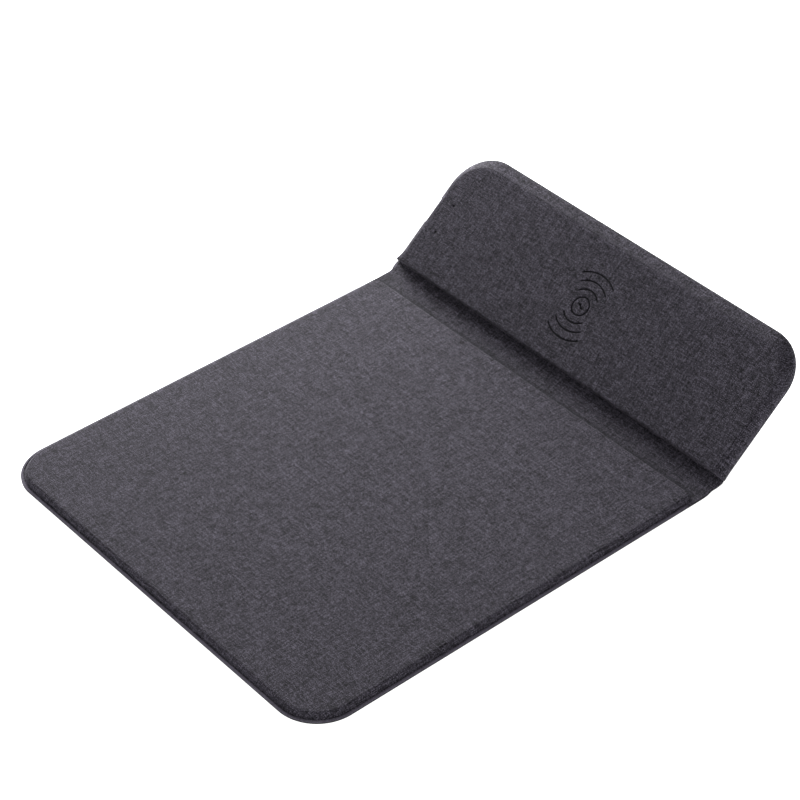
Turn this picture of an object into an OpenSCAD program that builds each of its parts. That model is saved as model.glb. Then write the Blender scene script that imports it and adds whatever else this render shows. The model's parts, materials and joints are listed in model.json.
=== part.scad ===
// Mouse mat with a fold-up wireless charging panel that props up as a phone stand.
// X runs along the fold lines, Y from the mat's front edge towards the panel, Z is up.
// The origin is the middle of the footprint, on the table, with the panel propped up.

/* [Cloth] */
// Thickness of the woven cover
cloth = 0.5; // [0.4:0.05:0.6]
// Thickness of the grippy sheet underneath
backing = 0.5; // [0.4:0.05:0.6]

/* [Mat] */
// Width of the mat, and of the panel
width = 210; // [190:1:260]
// Depth from the front edge to the first fold line
mat_depth = 214.5; // [180:0.5:260]
// Thickness over the padded area
mat_thickness = 3.2; // [2.6:0.1:4]
// Radius of the four outer corners
corner_radius = 20; // [14:1:24]
// Width of the rim that is pressed flat round the padding
rim_width = 1.5; // [0.8:0.1:3]
// Width of the padding's sloping edge
mat_bevel = 2.5; // [1:0.1:4]
// Depth of the flat flap between the padding and the first fold line
flap_depth = 7; // [4:0.5:12]

/* [Fold] */
// Length of the strip between the two fold lines
strip_length = 7.8; // [7.5:0.1:10]
// How much the cloth pulls in at each end of the strip
strip_pinch = 0.5; // [0:0.1:2]
// Slope of the strip when the panel is propped up, in degrees
strip_tilt = 18; // [14:0.5:22]
// Slope of the panel when it is propped up, in degrees
panel_tilt = 39.6; // [34:0.2:44]
// Room left beside each fold line
fold_gap = 0.8; // [0.8:0.1:1.2]

/* [Charging panel] */
// Depth from the second fold line to the far edge
panel_depth = 66.1; // [64:0.1:80]
// Thickness of the whole panel
panel_thickness = 5.95; // [5.9:0.05:6.6]
// Width of the rounded shoulder on the left and right
side_shoulder = 4.2; // [2:0.1:6]
// Width of the bevel along the far edge
far_shoulder = 6; // [3:0.1:8]
// Centre of the charging spot from the panel's middle, towards the inlet
spot_offset = 2.5; // [0:0.1:10]
// Centre of the charging spot from the second fold line
spot_depth = 29; // [28:0.1:32]

/* [Charging mark] */
// Radius of the mark's ring
ring_radius = 4.4; // [3:0.1:6]
// Step from one arc of the mark to the next
arc_step = 4.2; // [3:0.1:5]
// Width of the mark's lines
mark_line = 0.7; // [0.4:0.05:1]
// Depth that the mark is pressed into the cloth
mark_depth = 0.2; // [0.1:0.05:0.3]

/* [Inlet and lights] */
// Centre of the USB-C inlet from the second fold line
inlet_at = 29.5; // [27:0.1:32]
// Length of the notch in the panel's edge
notch_length = 13.5; // [12.6:0.1:15]
// Depth of the notch
notch_depth = 2.5; // [1.5:0.1:3]
// Distance of the two status lights from the panel's left edge
light_inset = 11.5; // [11:0.1:14]
// Distance between the two status lights
light_spacing = 14.7; // [13:0.1:18]

/* [Prop] */
// Half the width of the flap that props the panel up
prop_half = 50; // [40:1:52]
// Hinge of the flap from the second fold line
prop_at = 54; // [53:0.5:56]
// Backward lean of the flap when it stands, in degrees
prop_lean = 10; // [6:1:12]
// Radius of the flap's hinge pins
pin_radius = 0.5; // [0.4:0.05:0.5]

/* [Hidden] */
$fn = 48;
hull_fn = 48;
fit = 0.05;
eps = 0.02;
fold_height = (cloth + backing) / 2;
ledge = 2 * fold_height;

// Fold lines and the footprint
fold2_ahead = strip_length * cos(strip_tilt);
fold2_z = fold_height + strip_length * sin(strip_tilt);
panel_reach = panel_depth * cos(panel_tilt) + fold_height * sin(panel_tilt);
footprint = mat_depth + fold2_ahead + panel_reach;
fold1_y = mat_depth - footprint / 2;
fold2_y = fold1_y + fold2_ahead;

// Levels inside the panel, above its underside
floor_top = 1.1;
split_level = 2.5;
pocket_top = 2.3;
deck_top = 2.8;
ceiling = 4.35;
shell_top = 5.1;
pad_top = panel_thickness - cloth - fit;
board_low = 1.9;
board_top = 2.5;
inlet_level = 2.72;
ferrite_low = deck_top + fit;
ferrite_thickness = 0.5;
ferrite_width = 48;
pipe_low = 3.05;
pipe_top = panel_thickness - 0.35;
light_radius = 0.5;

// Charging coil, its leads and the sensor in its middle
coil_wire = 0.35;
coil_low = 3.4;
coil_level = coil_low + coil_wire;
coil_top = coil_low + 2 * coil_wire;
coil_turns = 17;
coil_inner = 10.4;
coil_pitch = 1.95 * coil_wire;
lead_ys = [35, 31.5];
lead_reach = 21;
cross_reach = 9.6;
cross_half = 0.6;
cross_thickness = 0.15;
solder_radius = 0.9;

// USB-C inlet: the mouth that takes the plug, and the metal round it
mouth_across = 8.34;
mouth_high = 2.56;
mouth_depth = 7;
port_wall = 0.28;
tongue_half = 3.3;
tongue_level_half = 0.35;

// Where the far edge's round part ends: its width, its share of the height, and its curve
far_round = 2;
far_turn = 0.535;
far_curve = 2.3;

// Walls of the panel's two shells
wall = 1.2;
shell_inset = 0.9;
far_clearance = 0.6;
cavity_inset = 5;
spot = [-spot_offset, spot_depth];
left_edge = -width / 2;
notch_x = left_edge + notch_depth;

// Prop: its hinge height sets its length, so that its foot meets the table
flap_level = 1.3;
flap_half = 0.8;
barrel_radius = 0.95;
foot_radius = 0.8;
foot_grip = 1.5;
pin_length = 10;
pin_depth = 4;
pin_clearance = 0.04;
pocket_half = prop_half + 0.4;
lug_half = pocket_half + pin_depth;
prop_hinge_z = fold2_z + prop_at * sin(panel_tilt) + (flap_level - fold_height) * cos(panel_tilt);
prop_length = (prop_hinge_z - foot_radius) / cos(prop_lean);
prop_open = 90 + prop_lean - panel_tilt;
stop_height = pocket_top - flap_level - fit;
pocket_near = prop_at - prop_length - foot_radius - 0.5;
pocket_far = prop_at + 2;
finger_radius = 7;
skin_thickness = 0.4;
skin_gap = 2;
lug_reach = 3;
latch_x = 40;
latch_y = 26;
magnet_radius = 3;
magnet_height = 1;
magnet_wall = 1;
plate_thickness = 0.4;
plate_seat = flap_half - plate_thickness - fit;

// Fasteners and the board's bay
screw_spots = [[-88, 55], [88, 55], [-95, 8], [95, 8], [-60, 8], [60, 8]];
screw_radius = 0.75;
screw_length = 3.2;
screw_low = backing + 0.1;
head_radius = 1.5;
head_height = 0.6;
head_recess = floor_top + 0.2;
boss_radius = 2.2;
post_radius = 1.5;
board_x = [-100, -62];
board_y = [12, 47];
post_spots = [[-97, 15], [-65, 15], [-97, 44], [-65, 44]];
board_gap = 0.3;
solder_x = board_x[1] - 2;

// Where each moving group sits. All are drawn flat and then tilted about their fold line.
module on_mat() {
    translate([0, fold1_y, 0]) mirror([0, 1, 0]) children();
}

module on_strip() {
    translate([0, fold1_y, fold_height]) rotate([strip_tilt, 0, 0]) children();
}

module on_panel() {
    translate([0, fold2_y, fold2_z]) rotate([panel_tilt, 0, 0])
        translate([0, 0, -fold_height]) children();
}

module on_prop() {
    on_panel() translate([0, prop_at, flap_level]) rotate([prop_open, 0, 0]) children();
}

// Outline from y = near to y = far, with both corners at the far end rounded
module tongue_outline(w, near, far, r) {
    translate([-w / 2, near]) square([w, far - near - r]);
    translate([-w / 2 + r, near]) square([w - 2 * r, far - near]);
    for (side = [-1, 1]) translate([side * (w / 2 - r), far - r]) circle(r);
}

module mat_outline(inset, near) {
    tongue_outline(width - 2 * inset, near, mat_depth - inset, corner_radius - inset);
}

module panel_outline(side, far_inset, near) {
    tongue_outline(width - 2 * side, near, panel_depth - far_inset, corner_radius - side);
}

// Extrudes a flat outline between two levels
module slab(low, high) {
    translate([0, 0, low]) linear_extrude(high - low) children();
}

// The range that reaches half to each side of a middle value
function about(middle, half) = [middle - half, middle + half];

// A section in Y and Z, extruded along X to half_length on each side
module bar(half_length) {
    rotate([90, 0, 90]) translate([0, 0, -half_length]) linear_extrude(2 * half_length) children();
}

module block(x, y, z) {
    translate([x[0], y[0], z[0]]) cube([x[1] - x[0], y[1] - y[0], z[1] - z[0]]);
}

// A small part of the given size, centred on a spot, standing on a level
module chip(at, level, size) {
    translate([at[0] - size[0] / 2, at[1] - size[1] / 2, level]) cube(size);
}

// ---- Mat ----

// The padding's raised form, skin millimetres inside the cloth
module padding(skin) {
    inset = rim_width + skin;
    near = flap_depth + skin;
    hull() {
        slab(backing, backing + eps) mat_outline(inset, near, $fn = hull_fn);
        slab(mat_thickness - skin - eps, mat_thickness - skin)
            mat_outline(inset + mat_bevel, near + mat_bevel, $fn = hull_fn);
    }
}

module mat_cover() {
    color("#48464e") on_mat() difference() {
        union() {
            slab(backing, ledge) mat_outline(0, fold_gap);
            padding(0);
        }
        padding(cloth);
    }
}

module mat_core() {
    color("#2c2c30") on_mat() padding(cloth);
}

module mat_backing() {
    color("#1b1b1d") on_mat() slab(0, backing) mat_outline(0, fold_gap);
}

// ---- Hinge strip ----

// One layer of the strip, with round ends that turn inside the fold gaps
module strip_layer(low, high) {
    bar(width / 2 - strip_pinch) intersection() {
        union() {
            translate([0, -fold_height]) square([strip_length, 2 * fold_height]);
            for (y = [0, strip_length]) translate([y, 0]) circle(fold_height);
        }
        translate([-fold_height, low]) square([strip_length + 2 * fold_height, high - low]);
    }
}

module strip_cover() {
    color("#48464e") on_strip() strip_layer(fold_height - cloth, fold_height);
}

module strip_backing() {
    color("#1b1b1d") on_strip() strip_layer(-fold_height, fold_height - cloth);
}

// ---- Panel ----

// How far the far edge comes in at a share of its height: round below, then a straight bevel
function far_in(share) = share < far_turn ? far_round * pow(share / far_turn, far_curve)
    : far_round + (far_shoulder - far_round) * (share - far_turn) / (1 - far_turn);

// The panel's rounded form, skin millimetres inside the cloth
module panel_form(skin) {
    rise = panel_thickness - ledge;
    hull() for (angle = [0 : 15 : 90]) {
        level = ledge + (rise - skin) * sin(angle);
        side = skin + side_shoulder * (1 - cos(angle));
        far_inset = skin + far_in(sin(angle));
        slab(angle == 0 ? 0 : level - eps, level)
            panel_outline(side, far_inset, fold_gap + skin, $fn = hull_fn);
    }
}

module notch() {
    block([left_edge - 1, notch_x], about(inlet_at, notch_length / 2), [-1, panel_thickness + 1]);
}

// Both status lights' places, seen from above
module at_lights() {
    for (side = [-1, 1])
        translate([left_edge + light_inset, inlet_at - 0.9 + side * light_spacing / 2]) children();
}

module light_hole(radius) {
    at_lights() cylinder(r = radius, h = 2 * panel_thickness, center = true);
}

// An arc of the mark's line, centred on the charging spot, pointing along +Y
module mark_arc(radius, half_angle) {
    rotate([0, 0, 90 - half_angle]) rotate_extrude(angle = 2 * half_angle)
        translate([radius - mark_line / 2, 0]) square([mark_line, 2 * mark_depth]);
}

// Half of the bolt inside the ring
module bolt_half() {
    linear_extrude(2 * mark_depth) polygon([[-2.3, 0.75], [0.1, -0.4], [-0.4, 1.3]]);
}

// The generic charging mark: a bolt in a ring, with three arcs on each side
module charging_mark() {
    translate([spot[0], spot[1], panel_thickness - mark_depth]) {
        mark_arc(ring_radius, 180);
        for (turn = [0, 180]) rotate([0, 0, turn]) {
            bolt_half();
            for (i = [1 : 3]) mark_arc(ring_radius - 0.4 + i * arc_step, 50 - 5 * i);
        }
    }
}

module panel_cover() {
    color("#48464e") on_panel() difference() {
        panel_form(0);
        translate([0, 0, -eps]) panel_form(cloth);
        notch();
        light_hole(light_radius);
        charging_mark();
    }
}

// Opening for the flap, and for the finger that lifts it
module pocket_outline(grow) {
    translate([-pocket_half - grow, pocket_near - grow])
        square([2 * (pocket_half + grow), pocket_far - pocket_near + 2 * grow]);
    translate([0, pocket_near]) circle(finger_radius + grow);
}

module panel_backing() {
    color("#1b1b1d") on_panel() difference() {
        slab(0, backing) panel_outline(cloth + fit, cloth + fit, fold_gap + cloth + fit);
        slab(-1, 1) pocket_outline(0);
        notch();
    }
}

module face_pad() {
    inset = cloth + side_shoulder;
    color("#3a3a3c") on_panel() difference() {
        slab(shell_top, pad_top)
            panel_outline(inset, cloth + far_shoulder, fold_gap + cloth + fit);
        light_hole(light_radius + fit);
    }
}

// A bar with the inlet's rounded section, grown all round, between two depths from the notch
module inlet_bar(grow, start, end) {
    middle_half = (mouth_across - mouth_high) / 2;
    radius = mouth_high / 2 + grow;
    translate([notch_x + start, inlet_at, inlet_level]) rotate([90, 0, 90])
        linear_extrude(end - start) {
            square([2 * middle_half, 2 * radius], center = true);
            for (side = [-1, 1]) translate([side * middle_half, 0]) circle(radius);
        }
}

module inlet_hole() {
    inlet_bar(port_wall + fit, -1, mouth_depth + 4);
}

module at_screws() {
    for (p = screw_spots) translate([p[0], p[1], 0]) children();
}

module top_shell() {
    color("#2a2a2c") on_panel() difference() {
        intersection() {
            panel_form(cloth + fit);
            slab(split_level + fit, shell_top) panel_outline(0, 0, 0);
        }
        difference() {
            slab(split_level, ceiling)
                panel_outline(cavity_inset, cavity_inset + 1, fold_gap + cloth + fit + wall);
            at_screws() cylinder(r = boss_radius, h = ceiling);
        }
        at_screws() cylinder(r = screw_radius + fit, h = ceiling);
        notch();
        light_hole(light_radius);
        inlet_hole();
    }
}

module bottom_shell_walls() {
    slab(backing, floor_top) shell_outline(shell_inset);
    difference() {
        slab(backing, split_level) shell_outline(shell_inset);
        slab(0, panel_thickness) shell_outline(shell_inset + wall);
    }
    slab(backing, deck_top) pocket_outline(wall);
    block([-lug_half, lug_half], [prop_at - lug_reach, pocket_far + wall], [backing, deck_top]);
    block([notch_x, notch_x + wall], about(inlet_at, notch_length / 2 + wall),
        [backing, split_level]);
    at_screws() cylinder(r = boss_radius, h = split_level);
    for (p = post_spots) translate([p[0], p[1], 0]) cylinder(r = post_radius, h = board_low);
    at_latches(0) cylinder(r = magnet_radius + magnet_wall, h = deck_top + magnet_height - 0.2);
}

// Both magnets' places at a level, seen from above
module at_latches(level) {
    for (side = [-1, 1]) translate([side * latch_x, latch_y, level]) children();
}

module shell_outline(inset) {
    panel_outline(inset, inset + far_clearance, fold_gap + inset);
}

module bottom_shell() {
    color("#2a2a2c") on_panel() difference() {
        bottom_shell_walls();
        slab(-1, backing) shell_outline(0);
        slab(0, pocket_top) pocket_outline(0);
        notch();
        inlet_hole();
        at_screws() {
            cylinder(r = screw_radius + 3 * fit, h = panel_thickness);
            cylinder(r = head_radius + 2 * fit, h = head_recess);
        }
        at_latches(deck_top) cylinder(r = magnet_radius + fit, h = 2 * magnet_height);
        for (side = [-1, 1]) pin_at(side, pin_radius, fit);
    }
}

// ---- Charging electronics ----

module charging_coil() {
    color("#b36a3c") on_panel() translate([spot[0], spot[1], coil_level]) rotate_extrude()
        for (i = [0 : coil_turns - 1])
            translate([coil_inner + i * coil_pitch, 0]) circle(coil_wire, $fn = 16);
}

// Two leads from the coil to solder joints on the board. The inner one crosses over the turns.
module coil_leads() {
    cross_low = coil_top + fit;
    cross_top = cross_low + cross_thickness;
    color("#c9a24a") on_panel() {
        translate([solder_x, lead_ys[0], coil_level]) rotate([0, 90, 0])
            cylinder(r = coil_wire, h = spot[0] - lead_reach - solder_x);
        block([solder_x, spot[0] - cross_reach], about(lead_ys[1], cross_half),
            [cross_low, cross_top]);
        for (y = lead_ys) translate([solder_x, y, board_top])
            cylinder(r = solder_radius, h = cross_top - board_top);
    }
}

module ferrite_sheet() {
    size = [ferrite_width, ferrite_width, ferrite_thickness];
    color("#33302e") on_panel() chip(spot, ferrite_low, size);
}

module thermistor() {
    color("#1f3d2b") on_panel() translate([spot[0], spot[1], coil_low]) cylinder(r = 1.2, h = 0.8);
}

module circuit_board() {
    color("#1f5a3a") on_panel() difference() {
        block(board_x, board_y, [board_low, board_top]);
        block([board_x[0] - 1, notch_x + mouth_depth + port_wall + board_gap],
            about(inlet_at, mouth_across / 2 + port_wall + board_gap), [0, panel_thickness]);
    }
}

module usb_c_shell() {
    color("#b8bbc0") on_panel() difference() {
        inlet_bar(port_wall, 0, mouth_depth + port_wall);
        inlet_bar(0, -1, mouth_depth);
    }
}

module usb_c_tongue() {
    color("#1d1d1f") on_panel()
        block([notch_x + 1, notch_x + mouth_depth - fit], about(inlet_at, tongue_half),
            about(inlet_level, tongue_level_half));
}

module controller_chip() {
    color("#202022") on_panel() chip([-80, 30], board_top, [5, 5, 0.9]);
}

module bridge_transistors() {
    color("#262628") on_panel() for (x = [-73, -68], y = [18, 40]) chip([x, y], board_top, [3, 3, 0.8]);
}

module resonant_capacitors() {
    color("#a58a62") on_panel() for (i = [0 : 3]) chip([-71, 25 + 3 * i], board_top, [3.2, 1.6, 1.6]);
}

module filter_inductor() {
    color("#3c3c40") on_panel() chip([-83, 19], board_top, [6, 6, 1.6]);
}

module status_lights() {
    color("#e8e6d8") on_panel() at_lights() chip([0, 0], board_top, [1.6, 0.8, 0.5]);
}

module light_pipes() {
    color("#dfe6ea") on_panel() at_lights() translate([0, 0, pipe_low])
        cylinder(r = light_radius - fit, h = pipe_top - pipe_low);
}

// ---- Fasteners, magnets and pins ----

module case_screws() {
    color("#8d9096") on_panel() at_screws() translate([0, 0, screw_low]) {
        cylinder(r = head_radius, h = head_height);
        cylinder(r = screw_radius, h = screw_length);
    }
}

module latch_magnets() {
    color("#c4c6ca") on_panel() at_latches(deck_top)
        cylinder(r = magnet_radius, h = magnet_height);
}

// The bore or pin on one side, from its seat in the shell into the flap
module pin_at(side, radius, extra) {
    translate([side * (lug_half + extra), prop_at, flap_level]) rotate([0, -side * 90, 0])
        cylinder(r = radius, h = pin_length + extra);
}

module hinge_pins() {
    color("#b0b3b8") on_panel() for (side = [-1, 1]) pin_at(side, pin_radius, 0);
}

// ---- Prop ----

// The heel's sloping face meets the pocket's ceiling when the flap is fully open
function stop_at(level) = (stop_height - level * cos(prop_open)) / sin(prop_open);

module heel_section() {
    polygon([[0, -flap_half], [stop_at(-flap_half), -flap_half], [stop_at(0), 0], [0, 0]]);
}

module prop_flap() {
    color("#2a2a2c") on_prop() difference() {
        union() {
            bar(prop_half) circle(barrel_radius);
            bar(prop_half) translate([foot_grip - prop_length, -flap_half])
                square([prop_length - foot_grip, 2 * flap_half]);
            bar(prop_half) heel_section();
        }
        for (side = [-1, 1]) translate([side * (prop_half + 1), 0, 0]) rotate([0, -side * 90, 0])
            cylinder(r = pin_radius + pin_clearance, h = pin_length - pin_depth + 1);
        at_plates() cylinder(r = magnet_radius + fit, h = flap_half);
    }
}

module prop_skin() {
    color("#1b1b1d") on_prop() bar(prop_half)
        translate([foot_grip - prop_length, -flap_half - skin_thickness])
            square([prop_length - foot_grip - skin_gap, skin_thickness]);
}

module prop_foot() {
    color("#3a3a3c") on_prop() bar(prop_half) translate([-prop_length, 0]) {
        circle(foot_radius);
        translate([0, -foot_radius]) square([foot_grip, 2 * foot_radius]);
    }
}

// Where the catch plates meet the magnets when the flap is folded away
module at_plates() {
    for (side = [-1, 1]) translate([side * latch_x, latch_y - prop_at, plate_seat]) children();
}

module catch_plates() {
    color("#9fa3a8") on_prop() at_plates() cylinder(r = magnet_radius, h = plate_thickness);
}

mat_cover();
mat_core();
mat_backing();
strip_cover();
strip_backing();
panel_cover();
panel_backing();
face_pad();
top_shell();
bottom_shell();
charging_coil();
coil_leads();
ferrite_sheet();
thermistor();
circuit_board();
usb_c_shell();
usb_c_tongue();
controller_chip();
bridge_transistors();
resonant_capacitors();
filter_inductor();
status_lights();
light_pipes();
case_screws();
latch_magnets();
hinge_pins();
prop_flap();
prop_skin();
prop_foot();
catch_plates();
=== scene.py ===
import json
import math
import bmesh
import bpy
import numpy as np
from mathutils import Matrix, Vector, noise
from mathutils.geometry import delaunay_2d_cdt


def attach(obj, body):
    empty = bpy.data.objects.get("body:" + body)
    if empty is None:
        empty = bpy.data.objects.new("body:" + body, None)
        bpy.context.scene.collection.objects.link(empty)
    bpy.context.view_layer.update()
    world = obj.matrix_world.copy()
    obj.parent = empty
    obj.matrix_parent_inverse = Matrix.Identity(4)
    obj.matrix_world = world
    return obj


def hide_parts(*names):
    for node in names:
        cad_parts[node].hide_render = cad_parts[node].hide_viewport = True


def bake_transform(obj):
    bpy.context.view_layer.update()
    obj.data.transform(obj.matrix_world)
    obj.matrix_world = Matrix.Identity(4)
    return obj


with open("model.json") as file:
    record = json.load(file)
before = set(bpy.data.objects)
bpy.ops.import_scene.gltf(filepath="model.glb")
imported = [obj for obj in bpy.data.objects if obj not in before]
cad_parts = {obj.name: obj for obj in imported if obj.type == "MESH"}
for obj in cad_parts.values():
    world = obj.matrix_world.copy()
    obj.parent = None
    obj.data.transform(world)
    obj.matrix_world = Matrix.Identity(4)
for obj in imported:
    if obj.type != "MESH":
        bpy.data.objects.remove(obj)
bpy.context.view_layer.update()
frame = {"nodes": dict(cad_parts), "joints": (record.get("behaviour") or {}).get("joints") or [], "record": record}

# ---- Sizes, in millimetres, from the frame ----
MM = 0.001


def joint_place(name):
    return next(Vector(j["pos_m"]) / MM for j in frame["joints"] if j["name"] == name)


def reach(node, origin, axis):
    """How far a CAD node reaches from an origin, along an axis."""
    return max((v.co / MM - origin) @ axis for v in frame["nodes"][node].data.vertices)


FOLD_1 = joint_place("strip_fold")
FOLD_2 = joint_place("panel_fold")
PROP_HINGE = joint_place("prop_hinge")
FACE_NORMAL = next(Vector(m["axis"]) for m in frame["record"]["mounts"] if m["name"] == "charging_face")
X = Vector((1, 0, 0))
UP_PANEL = FACE_NORMAL.cross(X)
HALF = reach("mat_cover", Vector(), X)
MAT_DEPTH = reach("mat_cover", FOLD_1, Vector((0, -1, 0)))
PAD_TOP = reach("mat_cover", Vector(), Vector((0, 0, 1)))
FOLD_HEIGHT = FOLD_1.z
LEDGE = 2 * FOLD_HEIGHT
STRIP = (FOLD_2 - FOLD_1).length
STRIP_WAY = (FOLD_2 - FOLD_1).normalized()
PANEL_DEPTH = reach("panel_cover", FOLD_2, UP_PANEL)
FACE_LEVEL = reach("panel_cover", FOLD_2, FACE_NORMAL) + FOLD_HEIGHT

# ---- The cloth's own shape, in millimetres ----
# Its thickness, the radius of the object's corners, and the radius of a corner that is sharp
CLOTH = 0.46
CORNER = 20
SHARP = 0.01

# The mat's pressed rim, the groove inside it, and the pad's sloping edge. The rim's paler colour, a painted
# highlight for the light its rounded edge catches, comes in over the fade below, in shares of the way from the
# groove to the outer edge
RIM = 1.5
RIM_ROUND = 0.3
RIM_LIGHT_FADE = (0.1, 0.6)
GROOVE_LEVEL = 0.6
GROOVE_HALF = 0.45
BEVEL = 2.2

# Behind the pad: the flap up to the first fold, with a shallower groove, a slope down to it, and painted shade
# on the cloth, darkest by the groove and fading out over the fold. The seam with the panel's cloth ends a little
# way in from the sides
FLAP = 7
PAD_BACK_CORNER = 5
BACK_FADE = 4
BACK_SHALLOW = 0.4
BACK_SLOPE = 6
SEAM_ENDS = 0.5
# How dark the painted shade is by the groove and over the strip, and where each fades out
GROOVE_SHADE = 0.32
GROOVE_SHADE_FADE = (1.9, 3)
STRIP_SHADE = 0.2
STRIP_SHADE_FADE = (5, 10)

# The bend over the first fold line, and how the cloth's ends draw in on it and swell past it
FOLD_REACH = 4.9
ENDS = 12
PINCH = 0.4
PINCH_AT = 1.6
PINCH_REACH = 2.2
SWELL_LEFT = 1.2
SWELL_RIGHT = 0.3
SWELL_AT = 8
SWELL_REACH = 3.2

# The panel's lower wall, its rounded sides, and its far edge with a straight bevel
WALL_AT = 0.8
CREST = 1.1
FILLET = 0.6
FILLET_DIP = 0.2
NEAR_CORNER_LOW = 0.1
NEAR_CORNER_HIGH = 2.8
SIDE_SHOULDER = 4.2
FAR_SHOULDER = 6
FAR_ROUND = 2
FAR_TURN = 0.535
FAR_CURVE = 2.3

# Where the panel's sides are straight, and the wrinkles by its lower wall: their height, how they
# fade in towards it, and the lengths of their waves across the panel and up it
PANEL_SIDE = (8, 43)
WRINKLE = 0.09
WRINKLE_FADE = (7, 1.5)
BROAD_WAVES = (7, 3)
FINE_WAVES = (2.5, 1)

# The inlet's notch in the panel's left edge, and the two light holes above it
INLET_AT = 29.5
NOTCH_HALF = 6.75
NOTCH_DEPTH = 2.5
NOTCH_ROUND = 0.6
LIGHTS = [Vector((-93.5, 28.6 + side * 7.35)) for side in (-1, 1)]
HOLE_RADIUS = 0.5
HOLE_EDGE = 0.64
HOLE_DEPTH = 0.6
# How dark the painted shade is inside the light holes
HOLE_SHADE = 1.2

# The charging mark: its place, half of its extent, its pressed line, its ring and its arcs, which
# get narrower outwards, by an angle in degrees
SPOT = Vector((-2.5, 29))
MARK_HALF = Vector((11, 18.5))
MARK_LINE = 0.7
MARK_FADE = (MARK_LINE / 4, MARK_LINE * 0.8)
MARK_DEPTH = 0.3
MARK_RING = 4.4
ARC_START = 4
ARC_STEP = 4.2
ARC_HALF_ANGLE = 50
ARC_NARROWS = 5

# ---- Rows, points, and the spacing of the points inside flat areas ----
CORNER_POINTS = 24
END_POINTS = 150
SIDE_POINTS = 150
BEVEL_ROWS = 14
FLAP_ROWS = 44
FLAP_EVENNESS = 0.35
SHOULDER_ROWS = 22
EDGE_ROWS = 6
STRIP_ROWS = 18
FILLET_ROWS = 7
PANEL_POINTS = 40
NEAR_POINTS = 9
NOTCH_POINTS = 9
HOLE_ROWS = 7
HOLE_POINTS = 28
FINGER_POINTS = 25
MAT_GRID = 3
FACE_GRID = 1.5
FACE_GAP = 0.7
MARK_GRID = 0.2
MARK_GAP = 0.5


def smooth(low, high, value):
    """0 below low, 1 above high, and a smooth step between them."""
    t = np.clip((value - low) / (high - low), 0, 1)
    return t * t * (3 - 2 * t)


# ---- Outlines ----
def arc(centre, radius, start, count):
    """A quarter circle's points, without the last one."""
    angles = np.radians(start + 90 * np.arange(count) / count)
    return [(centre[0] + radius * math.cos(a), centre[1] + radius * math.sin(a)) for a in angles]


def ring(half, near, far, near_radius, far_radius, stations):
    """A closed outline from the middle of one end round to itself, counter-clockwise.
    Every ring has its points in the same order, so that rings join point to point."""
    across = half - near_radius
    far_across = half - far_radius
    right = [(half, y) for y in (near + near_radius, *stations, far - far_radius)]
    points = [(x, near) for x in np.linspace(-across, across, END_POINTS)[:-1]]
    points += arc((across, near + near_radius), near_radius, -90, CORNER_POINTS)
    points += right[:-1]
    points += arc((far_across, far - far_radius), far_radius, 0, CORNER_POINTS)
    points += [(x, far) for x in np.linspace(far_across, -far_across, END_POINTS)[:-1]]
    points += arc((-far_across, far - far_radius), far_radius, 90, CORNER_POINTS)
    points += [(-x, y) for x, y in reversed(right)][:-1]
    points += arc((-across, near + near_radius), near_radius, 180, CORNER_POINTS)
    return np.array(points)


def inside(points, outline):
    """Which points are inside a closed outline."""
    x, y = points[:, 0], points[:, 1]
    count = np.zeros(len(points), int)
    for (ax, ay), (bx, by) in zip(outline, np.roll(outline, -1, axis=0)):
        if ay != by:
            crosses = (ay > y) != (by > y)
            count += crosses & (x < ax + (y - ay) * (bx - ax) / (by - ay))
    return count % 2 == 1


def clear_of(points, outline, gap):
    """Which points are further than gap from every corner of an outline."""
    kept = np.ones(len(points), bool)
    for corner in outline:
        kept &= np.hypot(*(points - corner).T) > gap
    return kept


def lattice(low, high, step):
    """Points on a regular square grid."""
    xs = np.arange(low[0], high[0], step)
    ys = np.arange(low[1], high[1], step)
    return np.array([(x, y) for y in ys for x in xs])


def seeds_in(seeds, outline, gap, holes=(), hole_gap=0):
    """The seeds inside an outline and outside its holes, with a gap to the points of every edge."""
    kept = inside(seeds, outline) & clear_of(seeds, outline, gap)
    for hole in holes:
        kept &= ~inside(seeds, hole) & clear_of(seeds, hole, hole_gap)
    return seeds[kept]


def fill(outlines, seeds):
    """Points and triangles that fill the first outline less the others."""
    points, edges = [], []
    for outline in outlines:
        first = len(points)
        count = len(outline)
        points += [Vector(p) for p in outline]
        edges += [(first + i, first + (i + 1) % count) for i in range(count)]
    points += [Vector(p) for p in seeds]
    inside_edges = 1
    made, _, faces, *_ = delaunay_2d_cdt(points, edges, [], inside_edges, 1e-6)
    made = np.array([tuple(p) for p in made])
    middles = np.array([made[face].mean(axis=0) for face in faces])
    in_hole = np.zeros(len(faces), bool)
    for hole in outlines[1:]:
        in_hole |= inside(middles, hole)
    return made, [face for face, omitted in zip(faces, in_hole) if not omitted]


def lengths_along(path):
    """The distance along a path at each of its points."""
    steps = [0] + [(b - a).length for a, b in zip(path, path[1:])]
    return np.cumsum(steps)


def outward(points, distance):
    """An outline's points moved out by a distance, each square to the line between its neighbours."""
    way = np.roll(points, -1, axis=0) - np.roll(points, 1, axis=0)
    way /= np.hypot(*way.T)[:, None]
    return points + distance * np.stack([way[:, 1], -way[:, 0]], axis=1)


def circle(centre, radius):
    angles = 2 * math.pi * np.arange(HOLE_POINTS) / HOLE_POINTS
    return np.array([(centre.x + radius * math.cos(a), centre.y + radius * math.sin(a)) for a in angles])


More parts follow.
